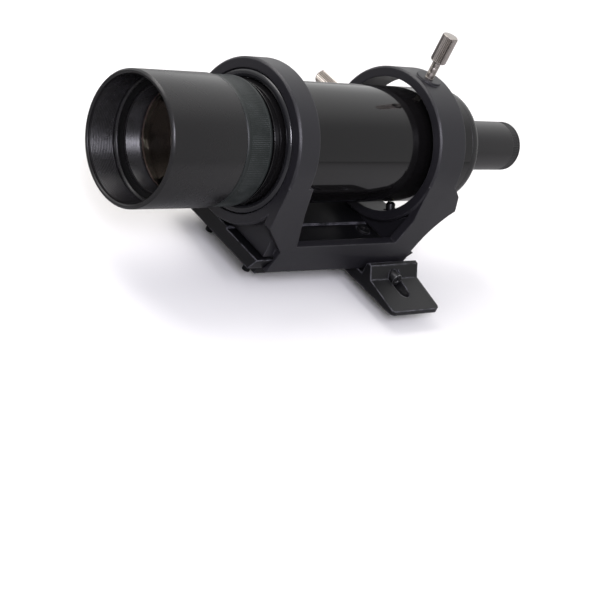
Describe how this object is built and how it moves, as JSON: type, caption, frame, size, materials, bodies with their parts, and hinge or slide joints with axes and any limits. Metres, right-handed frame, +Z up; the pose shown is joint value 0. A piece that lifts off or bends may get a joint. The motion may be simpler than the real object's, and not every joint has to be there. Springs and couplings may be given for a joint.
{
  "type": "finder scope",
  "caption": "Straight-through finder telescope in a two-ring bracket with knurled alignment screws, on a dovetail shoe with a lock foot.",
  "frame": {"origin": "middle of the shoe's four screws, on the plane of the lock foot's underside", "axes": "+Y along the optical axis towards the eyepiece, +Z up from the shoe to the tube, +X towards the lock foot"},
  "size_m": [0.1314, 0.262, 0.1269],
  "materials": {
    "casting": "satin black powder coat on a casting",
    "dark_steel": "black oxide",
    "steel": "turned steel",
    "rubber": "black moulded rubber",
    "chrome": "plated, knurled head",
    "tip_plastic": "off-white nylon",
    "brass": "turned brass",
    "tube_paint": "gloss black",
    "ring_paint": "satin black anodised",
    "shield_paint": "gloss black",
    "inner_black": "flat black",
    "coated_glass": "purple-brown anti-reflection coating",
    "clear_glass": "polished",
    "aluminium": "plain foil",
    "eyepiece_paint": "satin black"
  },
  "bodies": {
    "shoe": {"mounting_shoe": "casting", "shoe_screws": "dark_steel"},
    "lock_screw": {"lock_screw": "steel"},
    "bracket": {"finder_bracket": "casting", "plunger_sleeve": "brass", "plunger_spring": "steel"},
    "pivot_ring": {"tube_o_ring": "rubber"},
    "tube": {"main_tube": "tube_paint", "rear_cell": "tube_paint", "eyepiece_barrel": "eyepiece_paint", "reticle_ring": "inner_black", "crosshair": "inner_black", "field_lens": "clear_glass", "eyepiece_spacer": "inner_black", "eye_lens": "clear_glass", "eye_lens_retainer": "inner_black"},
    "objective": {"objective_cell": "inner_black", "objective_crown": "coated_glass", "lens_spacer": "aluminium", "objective_flint": "clear_glass", "lens_retaining_ring": "inner_black"},
    "dew_shield": {"dew_shield": "shield_paint"},
    "focus_lock_ring": {"focus_lock_ring": "ring_paint"},
    "top_tip": {"adjuster_top_tip": "tip_plastic"},
    "top_screw": {"adjuster_top": "chrome"},
    "side_tip": {"adjuster_side_tip": "tip_plastic"},
    "side_screw": {"adjuster_side": "chrome"},
    "plunger": {"plunger_pin": "steel"}
  },
  "joints": [
    {"name": "bracket_slide", "type": "slide", "parent": "shoe", "child": "bracket", "axis": [0, 1, 0], "range_m": [0, 0.06]},
    {"name": "lock_screw_turn", "type": "hinge", "parent": "shoe", "child": "lock_screw", "pos_m": [0.048, 0.03525, 0.0067], "axis": [1, 0, 0], "range_deg": [0, 720]},
    {"name": "tube_tilt", "type": "hinge", "parent": "bracket", "child": "pivot_ring", "pos_m": [0, -0.05885, 0.0555], "axis": [1, 0, 0], "range_deg": [0, 1.07]},
    {"name": "tube_pan", "type": "hinge", "parent": "pivot_ring", "child": "tube", "pos_m": [0, -0.05885, 0.0555], "axis": [0, 0, 1], "range_deg": [0, 1.07]},
    {"name": "top_adjuster_travel", "type": "slide", "parent": "bracket", "child": "top_tip", "axis": [0, 0, 1], "range_m": [0, 0.002]},
    {"name": "top_adjuster_turn", "type": "hinge", "parent": "top_tip", "child": "top_screw", "pos_m": [0, 0.047, 0.1055], "axis": [0, 0, 1], "range_deg": [0, 1020]},
    {"name": "side_adjuster_travel", "type": "slide", "parent": "bracket", "child": "side_tip", "axis": [-1, 0, 0], "range_m": [0, 0.002]},
    {"name": "side_adjuster_turn", "type": "hinge", "parent": "side_tip", "child": "side_screw", "pos_m": [-0.05, 0.047, 0.0555], "axis": [-1, 0, 0], "range_deg": [0, 1020]},
    {"name": "plunger_travel", "type": "slide", "parent": "bracket", "child": "plunger", "axis": [-0.5, 0, 0.866], "range_m": [0, 0.0018]},
    {"name": "focus_travel", "type": "slide", "parent": "tube", "child": "objective", "axis": [0, -1, 0], "range_m": [0, 0.0031]},
    {"name": "focus_turn", "type": "hinge", "parent": "objective", "child": "dew_shield", "pos_m": [0, -0.10725, 0.0555], "axis": [0, -1, 0], "range_deg": [0, 1080]},
    {"name": "focus_lock_turn", "type": "hinge", "parent": "tube", "child": "focus_lock_ring", "pos_m": [0, -0.07725, 0.0555], "axis": [0, -1, 0], "range_deg": [0, 180]}
  ],
  "couplings": [
    {"joint": "top_adjuster_travel", "follows": "tube_tilt", "m_per_rad": 0.10585},
    {"joint": "top_adjuster_turn", "follows": "tube_tilt", "ratio": 950.11},
    {"joint": "plunger_travel", "follows": "tube_tilt", "m_per_rad": 0.091669},
    {"joint": "side_adjuster_travel", "follows": "tube_pan", "m_per_rad": 0.10585},
    {"joint": "side_adjuster_turn", "follows": "tube_pan", "ratio": 950.11},
    {"joint": "focus_travel", "follows": "focus_turn", "m_per_rad": 0.00015915}
  ]
}
